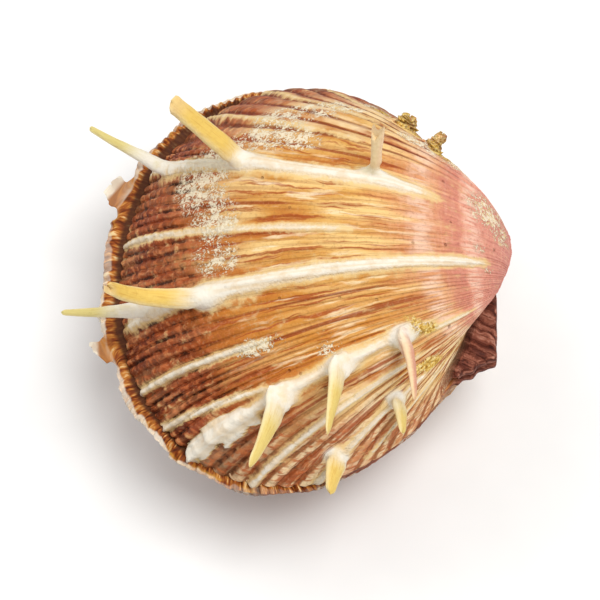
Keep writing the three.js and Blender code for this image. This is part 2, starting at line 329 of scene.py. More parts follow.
def spine(name, valve, relief, row):
    """
    A spine: a flattened, hollow-backed oval carried along a path. The path runs up the rib, sunk in it, then
    leaves it by the lean, bent along its length by the curl and turned aside. The oval flares at the root
    and tapers to a tip that ends ragged or forked.
    """
    size = dict(zip(SPINE_FIELDS, row))
    rib, growth = np.float64(size["rib"]), np.float64(size["growth"])
    outward, edgeward, nearward = grown_frame(valve, rib, growth)
    step = 0.01
    per_growth = grown_point(valve, rib, growth + step) - grown_point(valve, rib, growth)
    per_growth = np.linalg.norm(per_growth) / step
    count = np.interp(rib, RIB_STOPS, COUNT_STOPS)
    buried = 0.4 * SPINE_HUMP * size["depth"]
    base = grown_point(valve, rib, growth) + outward * (relief(rib, count, growth) - buried)
    along = -SPINE_RAMP + (1 + SPINE_RAMP) * (1 - np.linspace(1, 0, SPINE_RINGS) ** 1.35)[:, None]
    tilt = np.radians(size["lean"] + size["curl"] * (0.5 - np.clip(along, 0, 1)))
    aside = np.radians(size["aside"])
    heading = (outward * np.cos(tilt) + edgeward * np.sin(tilt)) * np.cos(aside) + nearward * np.sin(aside)
    strides = np.diff(along, axis=0) * (heading[1:] + heading[:-1]) / 2
    free = np.concatenate([np.zeros((1, 3)), np.cumsum(strides, axis=0)])
    at_root = np.array([np.interp(0, along[:, 0], free[:, axis]) for axis in range(3)])
    free = base + size["length"] * (free - at_root)
    run_growth = np.clip(growth + along * size["length"] / per_growth, BEAK, 1)
    sunk = buried + (0.6 * size["depth"] + 0.8) * (1 - ease(along, -SPINE_RAMP, 0.06))
    run = grown_point(valve, rib, run_growth[:, 0]) + outward * (relief(rib, count, run_growth) - sunk)
    leaving = ease(along, -0.6 * SPINE_RAMP, 0.28)
    path = run * (1 - leaving) + free * leaving
    forward = unit(np.gradient(path, axis=0))
    sideways = unit(nearward - forward * (forward @ nearward)[:, None])
    upward = np.cross(sideways, forward)
    upward = upward * np.sign(upward[0] @ outward)
    short = ease(size["length"], 12, 8)
    flare = (1 - size["tip"]) * np.exp(-np.clip(along, 0, 1) / (SPINE_FLARE_REACH * (1 + short)))
    rounding = 0.97 if size["ragged"] > 0.45 else 0.86
    taper = 1 - (1 - size["tip"]) * np.clip(along, 0, 1)
    rounded = np.sqrt(1 - 0.97 * (np.clip(along - rounding, 0, 1) / (1 - rounding)) ** 2)
    spread = 1 + 0.35 * ease(along, 0.5, 1) if size["fork"] else rounded
    wide = size["width"] * taper * rounded * (1 + 0.5 * SPINE_FLARE * flare)
    wide = wide * (0.2 + 0.8 * ease(along, -SPINE_RAMP, 0.08))
    deep = size["depth"] * taper * spread * (1 + 0.3 * SPINE_FLARE * flare)
    deep = deep * (0.3 + 0.7 * ease(along, -SPINE_RAMP, 0.1))
    round_angle = 2 * np.pi * np.arange(SPINE_COLUMNS) / SPINE_COLUMNS
    seed = int(100 * growth + 7 * abs(rib))
    crusted = size["white"] < -0.25
    pale = 0.95 if size["length"] > PALE_ROOTED else 0.45
    rough = 1 + (0.05 + 0.35 * crusted) * mottle(along * 9, 4 * np.cos(round_angle), seed)
    across = 0.5 * wide * np.cos(round_angle) * rough
    backed = np.where(np.sin(round_angle) < 0, 0.35 + 0.65 * np.abs(np.cos(round_angle)) ** 1.5, 1)
    thick = 0.5 * deep * np.sin(round_angle) * backed * rough
    broken = size["ragged"] * mottle(2.2 * np.cos(round_angle) + 3, 2.2 * np.sin(round_angle), seed + 1)
    broken = broken + size["fork"] * (np.abs(np.sin(round_angle)) - 0.35)
    intact = np.clip(1 - 1.8 * (size["ragged"] + size["fork"]) / size["length"], 0.2, 0.86)
    ending = ease(along, intact, 1) * broken
    rings = path[:, None] + across[..., None] * sideways[:, None] + thick[..., None] * upward[:, None]
    rings = rings + ending[..., None] * forward[:, None]
    coloured = np.clip(0.3 + (along - size["white"]) * (1 - 0.45 * short), 0.02, 2) * (1 - crusted)
    coloured = coloured * ease(along, -0.5 * SPINE_RAMP, 0.1)
    layers = {
        "growing": stacked(rings, broadened(valve, count) + 0.2 * np.cos(round_angle), run_growth, 0),
        "marks": stacked(rings, 0.2 if crusted else pale, 0.9 * crusted, 0.4 * crusted),
        "spine": stacked(rings, coloured, np.abs(np.cos(round_angle)) ** 3, size["tint"]),
        "places": stacked(rings, 0, 0, 1 - crusted),
    }
    return closed_rings(name, rings, layers)


ROOT_REACH = 3
ROOT_STEPS = 12
ROOT_ROUNDS = 40


def soften_roots(mesh):
    """
    Fillets where spines, scales and ears leave the shell: each point close to such a joint moves, round by
    round, towards the mean of its neighbours, the further the nearer it is to the joint. The mesh's layers
    are blended across the joint in the same way.
    """
    count = len(mesh.vertices)
    points = np.zeros(3 * count)
    mesh.vertices.foreach_get("co", points)
    points = points.reshape(-1, 3)
    corners = np.zeros(len(mesh.loops), dtype=np.int32)
    mesh.loops.foreach_get("vertex_index", corners)
    layers = np.zeros((len(LAYERS), 3 * len(corners)), dtype=np.float32)
    for name, values in zip(LAYERS, layers):
        mesh.attributes[name].data.foreach_get("vector", values)
    layers = layers.reshape(len(LAYERS), -1, 3)
    own, grown_on = np.ones(count), np.zeros(count)
    np.minimum.at(own, corners, layers[-1, :, 2])
    np.maximum.at(grown_on, corners, layers[-1, :, 2])
    ends = np.zeros(2 * len(mesh.edges), dtype=np.int32)
    mesh.edges.foreach_get("vertices", ends)
    ends = ends.reshape(-1, 2)
    lengths = np.linalg.norm(points[ends[:, 0]] - points[ends[:, 1]], axis=-1)
    away = np.where((own < 0.5) & (grown_on > 0.5), 0, 2 * ROOT_REACH * MM)
    for _ in range(ROOT_STEPS):
        np.minimum.at(away, ends[:, 0], away[ends[:, 1]] + lengths)
        np.minimum.at(away, ends[:, 1], away[ends[:, 0]] + lengths)
    pull = 0.6 * ease(away, ROOT_REACH * MM, 0.2 * MM)
    one, other = ends[pull[ends].max(1) > 0].T
    links = np.maximum(np.bincount(one, minlength=count) + np.bincount(other, minlength=count), 1)
    shares = np.maximum(np.bincount(corners, minlength=count), 1)
    means = [np.bincount(corners, part, count) / shares for layer in layers for part in layer.T]
    moved = np.stack([*points.T, *means])
    for _ in range(ROOT_ROUNDS):
        beside = [np.bincount(one, row[other], count) + np.bincount(other, row[one], count) for row in moved]
        moved = moved + pull * np.where(pull > 0, np.stack(beside) / links - moved, 0)
    mesh.vertices.foreach_set("co", moved[:3].T.ravel())
    blend = ease(away, ROOT_REACH * MM, 0.5 * ROOT_REACH * MM)[corners][:, None]
    for name, values, smooth in zip(LAYERS, layers, moved[3:].reshape(len(LAYERS), 3, count)):
        values = values + (smooth.T[corners] - values) * blend
        mesh.attributes[name].data.foreach_set("vector", values.astype(np.float32).ravel())
    mesh.update()


def fuse(piece, grown):
    """Grows other closed meshes into a piece: the union of their solids, with the same layers on it."""
    for other in grown:
        joined = piece.modifiers.new(other.name, "BOOLEAN")
        joined.operation = "UNION"
        joined.solver = "MANIFOLD"
        joined.object = other
    whole = bpy.data.meshes.new_from_object(piece.evaluated_get(bpy.context.evaluated_depsgraph_get()))
    piece.modifiers.clear()
    loose = piece.data
    piece.data = whole
    bpy.data.meshes.remove(loose)
    for other in grown:
        mesh = other.data
        bpy.data.objects.remove(other)
        bpy.data.meshes.remove(mesh)
    whole.name = piece.name
    soften_roots(whole)
    whole.shade_smooth()
    whole.set_sharp_from_angle(angle=np.radians(62))


class Wire:
    """A shader socket in an expression: each operator on values adds the Math node that does it."""

    def __init__(self, socket):
        self.socket = socket

    def node(self, kind, settings=None, inputs=None, out=0):
        """Any node: its type, its settings, which come first, and the values or links of its sockets."""
        tree = self.socket.id_data
        made = tree.nodes.new("ShaderNode" + kind)
        for key, value in (settings or {}).items():
            if key == "stops":
                while len(made.color_ramp.elements) < len(value):
                    made.color_ramp.elements.new(1)
                for element, (place, colour) in zip(made.color_ramp.elements, value):
                    element.position = place
                    element.color = colour
            else:
                setattr(made, key, value)
        for key, value in (inputs or {}).items():
            if isinstance(value, Wire):
                tree.links.new(value.socket, made.inputs[key])
            else:
                made.inputs[key].default_value = value
        return Wire(made.outputs[out])

    def math(self, operation, *others):
        """A Math node on this value and the others."""
        return self.node("Math", {"operation": operation}, dict(enumerate((self, *others))))

    def __add__(self, other):
        return self.math("ADD", other)

    def __mul__(self, other):
        return self.math("MULTIPLY", other)

    def __sub__(self, other):
        return self.math("SUBTRACT", other)

    def __rsub__(self, other):
        return self.node("Math", {"operation": "SUBTRACT"}, {0: other, 1: self})

    def __pow__(self, other):
        return self.math("POWER", other)

    __radd__ = __add__
    __rmul__ = __mul__

    def ease(self, low, high):
        """Smooth step from 0 at low to 1 at high, or the other way round where low is the larger."""
        settings = {"interpolation_type": "SMOOTHSTEP"}
        ends = {"From Min": low, "From Max": high, "To Min": 0.0, "To Max": 1.0}
        if low > high:
            ends = {"From Min": high, "From Max": low, "To Min": 1.0, "To Max": 0.0}
        return self.node("MapRange", settings, {"Value": self, **ends})

    def mix(self, other, factor):
        """This colour, covered by the other one as far as the factor goes."""
        return self.node("Mix", {"data_type": "RGBA"}, {"Factor": factor, 6: self, 7: other}, 2)

    def grain(self, scale, detail=2.0, roughness=0.55):
        """Noise of 0 to 1 on this vector."""
        inputs = {"Vector": self, "Scale": scale, "Detail": detail, "Roughness": roughness}
        return self.node("TexNoise", {}, inputs)

    def layer(self, name):
        """The three numbers of one of the mesh's own layers."""
        vector = self.node("Attribute", {"attribute_name": name}, {}, "Vector")
        return [self.node("SeparateXYZ", {}, {0: vector}, part) for part in range(3)]

    def vector(self, x, y, z):
        """Three values as one vector."""
        return self.node("CombineXYZ", {}, {0: x, 1: y, 2: z})


def shade(red, green, blue):
    """A colour given as on screen, 0 to 255, made linear."""
    part = np.array([red, green, blue]) / 255
    linear = np.where(part <= 0.04045, part / 12.92, ((part + 0.055) / 1.055) ** 2.4)
    return (*(float(value) for value in linear), 1.0)


def blank_material(name):
    """A new material with its Principled shader, and a wire to start expressions from."""
    material = bpy.data.materials.new(name)
    material.use_nodes = True
    shader = material.node_tree.nodes["Principled BSDF"]
    return material, shader, Wire(shader.inputs["Roughness"])


FINE_RELIEF = 0.4
SATIN = 0.14


def finish_shell(piece, material, shader, colour, roughness, height):
    """Links a shell's colour, roughness and fine relief, and puts the material on its piece."""
    tree = material.node_tree
    bump = colour.node("Bump", {}, {"Height": height, "Strength": 1.0, "Distance": FINE_RELIEF * MM})
    tree.links.new(colour.socket, shader.inputs["Base Color"])
    tree.links.new(roughness.socket, shader.inputs["Roughness"])
    tree.links.new(bump.socket, shader.inputs["Normal"])
    shader.inputs["Specular IOR Level"].default_value = SATIN
    piece.data.materials.clear()
    piece.data.materials.append(material)


def hinge_brown(place):
    """The hinge's colour: brown layers along each ear's free side and through the plate, crinkled."""
    x, y, z = (place.node("SeparateXYZ", {}, {0: place}, part) for part in range(3))
    crinkle = place.grain(420.0) * 2.4 + place.grain(90.0) * 2
    from_middle = (y * y + (FREE_SOFTENED * MM) ** 2).math("SQRT")
    free_side = from_middle * (FREE_ACROSS / MM) - x * (FREE_BACK / MM) + crinkle
    layered = place.vector(free_side * 0.8, z * 1300, 2.0).grain(1.0, 3.0)
    return place.node("ValToRGB", {"stops": [
        (0.32, shade(56, 22, 14)), (0.46, shade(100, 48, 34)), (0.58, shade(146, 86, 66)),
        (0.7, shade(190, 132, 110)),
    ]}, {"Fac": layered})


TURN = 2 * np.pi
LOWER_RIB_HEIGHT = 0.9
LOWER_RIBLET_HEIGHT = 0.4
LOWER_LAYERS = 17
LOWER_LAYER_HEIGHT = 0.9
SCAR_PITS = 0.25
LIP_RISE = 0.7
LIP_FOLD = 0.5
LIP_HELD_IN = 2.6
LIP_HELD_AT, LIP_HELD_ALONG = -122, 24


def lower_relief(rib, count, growth):
    """Broad ribs and riblets, with layer edges that stand out most on the ribs, fading towards the hinge."""
    rib_phase = (count - RIBLETS / 2) / RIBLETS
    on_rib = np.cos(TURN * rib_phase)
    broad = LOWER_RIB_HEIGHT * (on_rib * 0.5 + 0.2)
    layered = lamellae(count, growth, LOWER_LAYERS, LOWER_LAYER_HEIGHT, 21) * (0.6 + 0.6 * on_rib)
    raised = broad + ribbing(count, growth, LOWER_RIBLET_HEIGHT, 22) + layered
    raised = raised + 0.35 * mottle(count * 0.2, growth * 6, 23)
    return raised * np.cos(np.radians(rib) / 2) ** 2 * np.sqrt(growth)


def lower_rim(rib, count, inward, breadth):
    """The lip: rounded down at its edge, raised a little behind it, and folded to match the riblets."""
    mm_in = inward * breadth
    lip = ease(np.cos(np.radians(rib - 10)), -0.1, 0.7) * ease(mm_in, 0.2, 1.2) * (1 - ease(mm_in, 1.6, 3.2))
    uneven = 1 + 0.9 * mottle(count * 0.8, mm_in * 0.2, 25)
    folds = np.cos(TURN * count) * LIP_FOLD * uneven * (1 - ease(mm_in, 1.5, 3.4))
    return lip * LIP_RISE + folds * ease(np.cos(np.radians(rib)), -0.6, 0.2)


LOWER_SCALE = (5, 58, 0, 16, 4.6, 2, 0.6, 1.2, 0, 0.9, 0.2)  # as SPINE_FIELDS, from length on
LOWER_SCALE_ROWS = (0.72, 0.84)
SCALED_FROM, SCALED_TO = -80, 105
FRINGE = [(-45, 1, 22, 9), (-10, 1, 14, 9), (26, 1, 12, 9), (70, 1, 20, 9)]  # rib, growth, half sizes
EDGE_SCALES = [  # as SPINE_FIELDS, in mm and degrees
    (26, 0.996, 4, 54, -10, 0, 10, 1.5, 0.6, 1, 0, 0.9, 0.3),
    (-17, 0.996, 3.8, 54, 0, 0, 8, 1.5, 0.3, 0.8, 0, 0.9, 0.3),
]

rings, rib, count, grown, depth = valve_rings(LOWER, lower_relief, lower_rim)
held_in = np.exp(-(((rib - LIP_HELD_AT) / LIP_HELD_ALONG) ** 2)) * ease(grown, 0.8, 1) * ease(depth, 1, 0.2)
rings[..., 1] += LIP_HELD_IN * held_in
pits = SCAR_PITS * np.clip(mottle(rings[..., 0] * 0.7, rings[..., 1] * 0.7, 24), 0, 1)
rings[..., 2] = np.maximum(rings[..., 2], pits)
lower_valve = closed_rings("lower_valve_shell", rings, {
    "growing": stacked(rings, wandering(count, grown, 22), grown, depth),
    "marks": stacked(rings, np.cos(TURN * (count / RIBLETS - 0.5)), patch(rib, grown, FRINGE), 0),
    "spine": stacked(rings, 0, 0, 0),
    "places": stacked(rings, hinge_and_painted_shade(rings, rib, -1), ease(rings[..., 2], 1.5, 0.2), 0),
})
scale_rows = [
    (angle, row, *LOWER_SCALE)
    for place, angle in enumerate(RIBS)
    for row in LOWER_SCALE_ROWS[place % 2 : place % 2 + 1]
    if SCALED_FROM < angle < SCALED_TO
]
lower_grown = [
    spine(f"lower_scale_{place}", LOWER, lower_relief, row)
    for place, row in enumerate(scale_rows + EDGE_SCALES)
]
fuse(lower_valve, [ear_plate("lower_ears", -1), *lower_grown])

material, shader, wire = blank_material("red_brown_shell")
place = wire.node("TexCoord", {}, {}, "Object")
riblet, growth, inside = wire.layer("growing")
crest, fringed, _ = wire.layer("marks")
scale, scale_edge, _ = wire.layer("spine")
ears_and_painted_shade, scar, _ = wire.layer("places")
streak = wire.vector(riblet * 0.8, growth * 7, 3.0).grain(1.0, 3.0)
bead = wire.vector(riblet * 1.1, growth * 60, 5.0).grain(1.0, 2.0)
speck = place.grain(1400.0, 3.0)
groove = (riblet * TURN).math("COSINE").ease(-0.2, -0.95)

# Its skin: pale where old, red-brown towards the edge, with yellow flecks, dark grooves and pale rib crests.
colour = wire.node("ValToRGB", {"stops": [
    (0.1, shade(214, 190, 170)), (0.45, shade(196, 148, 112)), (0.7, shade(168, 98, 62)),
    (0.86, shade(140, 70, 42)), (1.0, shade(118, 56, 32)),
]}, {"Fac": growth + (streak - 0.5) * 0.3})
colour = colour.mix(shade(224, 160, 70), streak.ease(0.5, 0.7) * bead.ease(0.3, 0.7) * 0.7)
colour = colour.mix(shade(82, 38, 24), groove * 0.75)
colour = colour.mix(shade(236, 220, 196), crest.ease(0.55, 0.95) * bead.ease(0.35, 0.6) * 0.7)

# Its lip: brown and yellow beads, painted shadow on its inner border, a white fringe in places, and the
# porcelain hollow.
rim_brown = bead.node("ValToRGB", {"stops": [
    (0.3, shade(80, 34, 16)), (0.46, shade(140, 68, 28)), (0.6, shade(196, 126, 54)),
    (0.72, shade(236, 208, 152)),
]}, {"Fac": wire.vector(riblet * 2.8, inside * 2, 9.0).grain(1.0, 2.0)})
broad_fringe = wire.vector(riblet * 0.22, 0.0, 31.0).grain(1.0, 2.0).ease(0.35, 0.7) * 0.24
fringe = (inside - broad_fringe + (streak - 0.5) * 0.08).ease(0.07, 0.0) * (0.15 + fringed * 0.85)
yellow = wire.vector(riblet * 0.3, inside * 3, 13.0).grain(1.0, 2.0).ease(0.5, 0.64)
rim_brown = rim_brown.mix(shade(228, 172, 76), yellow * inside.ease(0.26, 0.06) * 0.7)
colour = colour.mix(rim_brown, inside.ease(0.002, 0.012))
# Painted shadow: dark brown on the lip's inner part, where the upper valve's edge overhangs it.
colour = colour.mix(shade(74, 40, 24), inside.ease(0.3, 0.46) * 0.9)
colour = colour.mix(shade(244, 234, 214), fringe * growth.ease(0.98, 0.996) * (0.6 + bead * 0.4))
colour = colour.mix(shade(240, 232, 218), inside.ease(0.88, 0.99))

# Its scales, orange at the root and white beyond, then the hinge with painted shade beside it, the scar and
# the gloss.
scale_white = (scale + (streak - 0.5) * 0.3).ease(0.08, 0.25) * (0.75 + scale_edge * 0.25)
colour = colour.mix(shade(190, 122, 46), scale.ease(0.0, 0.018) * streak.ease(0.3, 0.6))
colour = colour.mix(shade(242, 232, 212), scale_white)
# Hinge brown on the ear plates, and as painted shade on the valve beside them and under the beak.
colour = colour.mix(hinge_brown(place), ears_and_painted_shade)
colour = colour.mix(shade(206, 196, 182), scar * (0.6 + speck * 0.4))
roughness = 0.5 + speck * 0.2 - inside.ease(0.88, 0.99) * 0.25
height = speck * 0.35 + bead * 0.45 * (1 - inside.ease(0.3, 0.6)) - groove * 0.2
finish_shell(lower_valve, material, shader, colour, roughness, height)
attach(lower_valve, "root")
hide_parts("lower_valve")

# Upper valve: the half that the photograph looks down on, a domed shell of layered calcite whose ribs carry
# long flattened spines. All of it is grown in one piece. It is worn pink at the beak, tan in the middle and
# red-brown at the edge, with white ribs, crust and a little moss on it, and only lies on the lower valve.
UPPER = {
    **LOWER, "up": 1, "length": 80.5, "near": 50, "near_widen": 0.06, "far": 50.5, "far_widen": -0.02,
    "skew": 30, "beak_reach": 1, "broad_below": 46, "broad_above": 79,
}
SPINES = [  # as SPINE_FIELDS, in mm and degrees
    (36.6, 0.47, 11, 3, -3, 0, 2.4, 3.2, 0.8, 0.3, 3.4, -0.1, 0.85),
    (35, 0.72, 19.8, 21, 4, 5, 4.9, 3.2, 0.88, 0.7, 0, -0.05, 0),
    (33, 0.905, 19.6, 36, 0, 13, 3.3, 2.6, 0.4, 0.5, 0, 0.28, 0.5),
    (-12.5, 0.78, 24, 36, -3, 100, 4.6, 3, 0.65, 2.2, 0, 0.04, 0),
    (-11.5, 0.9, 17.8, 34, 3, 30, 3.5, 2.6, 0.35, 0.5, 0, 0.3, 0.5),
    (-51, 0.5, 16.8, 24, 33, -15, 4.4, 3.4, 0.3, 0.2, 0, 0, 1),
    (-53.3, 0.64, 18, 28, 28, 5, 4.8, 3, 0.25, 0.2, 0, 0.08, 0.25),
    (-54.5, 0.77, 18.9, 25, 23, -20, 5.2, 3, 0.28, 0.2, 0, 0.14, 0.3),
    (-97.9, 0.7, 8.5, 31, -2, -9, 5, 2.9, 0.4, 0.3, 0, 0, 0.2),
    (-94.7, 0.905, 10, 25, -10, 11, 4.8, 2.8, 0.45, 0.4, 0, 0, 0.1),
    (106, 0.585, 3.2, 6, 0, 0, 5.4, 6, 0.6, 1, 0, -0.3, 0.4),
    (93, 0.42, 3.6, -6, -6, 0, 4.2, 4.4, 0.45, 1.2, 0, -0.3, 0.7),
]
COURSE_STRENGTH, COURSE_HEIGHT = 5, 6
WHITE_RIBS = [  # angle half grown and at the edge, begin and end of growth, breadth, strength, height
    (33.5, 35, 0.36, 1.05, 2, 1, 1.3),
    (8, 11, 0.52, 1.05, 1.1, 0.75, 0.5),
    (-9, -13, 0.25, 0.98, 2, 1, 1.3),
    (-33, -31, 0.72, 1.05, 1.3, 0.85, 0.6),
    (-56, -43, 0.78, 1.05, 1.3, 0.85, 0.5),
    (-50.5, -56, 0.42, 1.05, 2, 0.85, 1.9),
    (-57, -57, 0.3, 0.44, 1.6, 0.75, 0.8),
    (-74, -76, 0.5, 1.05, 1.5, 0.9, 1.4),
    (-100, -95, 0.56, 1.02, 1.9, 0.9, 1.7),
    (-124, -108, 0.5, 0.96, 1.6, 0.7, 1),
    (57, 59, 0.5, 1.05, 1.3, 0.45, 0.6),
    (79, 80, 0.5, 1.05, 1.3, 0.4, 0.6),
    (101, 101, 0.5, 1.05, 1.4, 0.4, 0.7),
    (122, 122, 0.5, 1.05, 1.4, 0.3, 0.6),
]
WHITE_CRUST = [  # rib, growth, half breadth, half length
    (35, 0.79, 8, 0.05), (25, 0.8, 7, 0.045), (14, 0.755, 6, 0.04), (0, 0.755, 5, 0.035),
    (48, 0.72, 6, 0.05), (61, 0.72, 6, 0.05), (50, 0.635, 5, 0.04), (80, 0.68, 12, 0.06),
    (42, 0.23, 15, 0.05), (34, 0.2, 14, 0.04), (5, 0.265, 3, 0.012), (-13, 0.24, 3, 0.012),
    (118, 0.78, 14, 0.07), (86, 0.37, 12, 0.1), (-33, 0.74, 3, 0.04), (-45, 0.63, 4, 0.02),
]
MOSS = [  # as WHITE_CRUST
    (-97, 0.55, 8, 0.03), (-90, 0.53, 5, 0.03), (-54, 0.44, 5, 0.02), (-45, 0.465, 5, 0.015),
    (115, 0.76, 8, 0.04), (104, 0.54, 5, 0.03), (86, 0.37, 7, 0.03),
]
FLAKES = [  # rib, begin and end of growth, half breadth, height
    (-55.5, 0.8, 0.928, 4.8, 1.6), (-54, 0.9, 0.992, 4.2, 1.2),
]
CRAGS = [  # as WHITE_CRUST
    (104, 0.53, 6, 0.05), (92, 0.44, 7, 0.05), (84, 0.36, 8, 0.04), (73, 0.31, 9, 0.03),
    (62, 0.26, 10, 0.025),
]
CRAG_HEIGHT = 1.3
DARK_LINES = [  # as WHITE_RIBS
    (-31, -36, 0.4, 0.72, 0.6, 1, 0),
    (-20, -22, 0.45, 0.8, 0.5, 0.7, 0),
    (18, 20, 0.6, 0.9, 0.6, 0.8, 0),
    (-64, -66, 0.5, 1, 0.8, 0.8, 0),
    (46, 48, 0.4, 0.95, 0.7, 0.8, 0),
    (69, 70, 0.4, 0.95, 0.8, 0.8, 0),
    (-88, -88, 0.5, 1, 0.8, 0.8, 0),
]
UPPER_RIBLET_HEIGHT = 0.46
UPPER_LAYERS = 44
UPPER_LAYER_HEIGHT = 0.5
LUMP_HEIGHT = 0.3
CRUST_HEIGHT = 0.45
RIM_FOLD = 0.15
EDGE_ROLL = 0.9


def flakes(rib, growth):
    """Scales that lie flat: each climbs along the growth to its torn edge and drops to the one beyond."""
    raised = 0 * (rib + growth)
    for middle, begins, ends, broad, height in FLAKES:
        torn = ends + 0.016 * mottle(rib * 0.6, 0 * growth + middle, 37)
        along = ease(growth, begins, ends - 0.01) * (1 - ease(growth, torn, torn + 0.012))
        across = np.abs(rib - middle) * growth / broad + 0.3 * mottle(rib * 0.2, growth * 45, 38)
        raised = raised + height * along * (1 - ease(across, 0.4 + 0.3 * along, 0.65 + 0.4 * along))
    return raised


def upper_relief(rib, count, growth):
    """Ribs, riblets, growth layers that coarsen outwards, humps under spines, flakes, crags, lumps, crust."""
    outer = ease(growth, 0.74, 0.9)
    flank = np.exp(-(((rib + 88) / 38) ** 2)) + 0.7 * np.exp(-(((rib - 75) / 28) ** 2))
    raised = ribbing(broadened(UPPER, count), growth, UPPER_RIBLET_HEIGHT, 31)
    raised = raised * (0.6 + 1.1 * outer + 1.2 * flank)
    for course in WHITE_RIBS:
        raised = raised + course[COURSE_HEIGHT] * rib_course(rib, growth, course)
    raised = raised + lamellae(count, growth, UPPER_LAYERS, UPPER_LAYER_HEIGHT, 32) * (0.2 + outer)
    raised = raised + spine_humps(rib, growth, SPINES) + flakes(rib, growth)
    raised = raised + CRAG_HEIGHT * patch(rib, growth, CRAGS) * np.abs(mottle(count * 0.45, growth * 55, 36))
    raised = raised + LUMP_HEIGHT * mottle(count * 0.16, growth * 5, 33)
    raised = raised + LUMP_HEIGHT * mottle(count * 0.5, growth * 16, 34)
    crusted = patch(rib, growth, WHITE_CRUST + MOSS)
    raised = raised + CRUST_HEIGHT * crusted * mottle(count * 2.1, growth * 120, 35)
    return raised * np.cos(np.radians(rib) / 2) ** 2 * np.sqrt(growth)


def upper_rim(rib, count, inward, breadth):
    """The upper rim: flat, with a shallow crenulation that the lower lip's folds fit."""
    return RIM_FOLD * (1 - np.cos(TURN * count)) * (1 - ease(inward * breadth, 1, 4))


rings, rib, count, grown, depth = valve_rings(UPPER, upper_relief, upper_rim)
rolled_in = ease(grown, 0.88, 1) * ease(depth, 1, 0.2)
rings[..., 0] += EDGE_ROLL * rolled_in * ease(np.cos(np.radians(rib)), 0.2, 0.8)
whiteness = sum(course[COURSE_STRENGTH] * rib_course(rib, grown, course) for course in WHITE_RIBS)
pale_rooted = [row for row in SPINES if row[SPINE_FIELDS.index("length")] > PALE_ROOTED]
whiteness = whiteness + 0.3 * spine_humps(rib, grown, pale_rooted)
whiteness = whiteness + 0.95 * ease(flakes(rib, grown), 0.15, 0.6)
darkness = sum(course[COURSE_STRENGTH] * rib_course(rib, grown, course) for course in DARK_LINES)
upper_valve = closed_rings("upper_valve_shell", rings, {
    "growing": stacked(rings, wandering(broadened(UPPER, count), grown, 31), grown, depth),
    "marks": stacked(rings, whiteness, patch(rib, grown, WHITE_CRUST), patch(rib, grown, MOSS)),
    "spine": stacked(rings, 0, 0, 0),
    "places": stacked(rings, hinge_and_painted_shade(rings, rib, 1), darkness, 0),
})
upper_grown = [spine(f"spine_{place}", UPPER, upper_relief, row) for place, row in enumerate(SPINES)]
fuse(upper_valve, [ear_plate("upper_ears", 1), *upper_grown])

material, shader, wire = blank_material("banded_pink_and_tan_shell")
place = wire.node("TexCoord", {}, {}, "Object")
riblet, growth, inside = wire.layer("growing")
white, crust, moss = wire.layer("marks")
along, edge, tint = wire.layer("spine")
ears_and_painted_shade, dark, _ = wire.layer("places")
wavering = riblet + (place.grain(230.0) - 0.5) * 0.9
streak = wire.vector(wavering * 0.9, growth * 8, 3.0).grain(1.0, 3.0)
band = wire.vector(wavering * 0.35, growth * 4.5, 17.0).grain(1.0, 3.0)
hair = wire.vector(wavering * 1.7, growth * 7, 29.0).grain(1.0, 3.0)
bead = wire.vector(riblet * 1.0, growth * 75, 5.0).grain(1.0, 2.0)
smear = wire.vector(riblet * 1.3, growth * 16, 41.0).grain(1.0, 2.0)
ring = wire.vector(riblet * 0.25, growth * 130, 53.0).grain(1.0, 2.0)
cloud = place.grain(70.0, 2.0)
ruddy = wire.vector(riblet * 0.35, growth * 6, 83.0).grain(1.0, 2.0)
speck = place.grain(1500.0, 3.0)
granule = place.grain(2000.0, 3.0, 0.65)
clump = place.grain(330.0, 3.0)
groove = (riblet * TURN).math("COSINE").ease(-0.1, -0.95)
flank = riblet.ease(45.5, 39.5)
far_flank = riblet.ease(79.3, 81.0)
outer = (growth + (streak - 0.5) * 0.14 + (cloud - 0.5) * 0.08).ease(0.7, 0.88)
middle = growth.ease(0.3, 0.5) * (1 - outer)

# Its skin along the growth: pink at the beak, tan and orange in the middle, red-brown at the edge.
colour = wire.node("ValToRGB", {"stops": [
    (0.12, shade(206, 134, 124)), (0.3, shade(222, 150, 126)), (0.38, shade(222, 158, 114)),
    (0.5, shade(216, 164, 86)), (0.66, shade(206, 144, 66)), (0.76, shade(182, 102, 42)),
    (0.84, shade(152, 70, 30)), (0.93, shade(128, 52, 22)), (1.0, shade(100, 40, 16)),
]}, {"Fac": growth + (streak - 0.5) * 0.16 + (cloud - 0.5) * 0.1})

# Its flanks: cream riblets with a painted highlight on their crests, brown grooves deepened by painted shade.
colour = colour.mix(shade(222, 160, 108), flank * outer * 0.85)
colour = colour.mix(shade(238, 206, 160), riblet.ease(80.0, 86.0) * streak.ease(0.42, 0.62) * 0.6)
# Painted highlight: cream laid on the flank riblets' crests, away from the grooves, over their own cream.
flank_cream_and_highlight = flank * (1 - groove) * streak.ease(0.36, 0.52) * growth.ease(0.2, 0.4)
colour = colour.mix(shade(246, 220, 176), flank_cream_and_highlight * 0.9)
# Painted shade: brown laid in the flank's grooves, over their own brown.
colour = colour.mix(shade(138, 66, 30), flank * groove * growth.ease(0.25, 0.5) * 0.7)

# Its middle: yellow and orange bands, an orange field on the near half, thin brown and cream streaks.
yellow_band = band.ease(0.46, 0.62) * growth.ease(0.3, 0.42) * (1 - outer * 0.85)
colour = colour.mix(shade(240, 204, 136), yellow_band * 0.75)
colour = colour.mix(shade(186, 104, 38), band.ease(0.5, 0.36) * middle * 0.75)
near_half = riblet.ease(60.0, 57.0) * riblet.ease(45.0, 48.0)
colour = colour.mix(shade(204, 130, 48), near_half * middle * 0.5)
colour = colour.mix(shade(164, 76, 30), hair.ease(0.52, 0.62) * growth.ease(0.28, 0.5) * 0.85)
colour = colour.mix(shade(248, 228, 190), streak.ease(0.55, 0.68) * middle * 0.7)

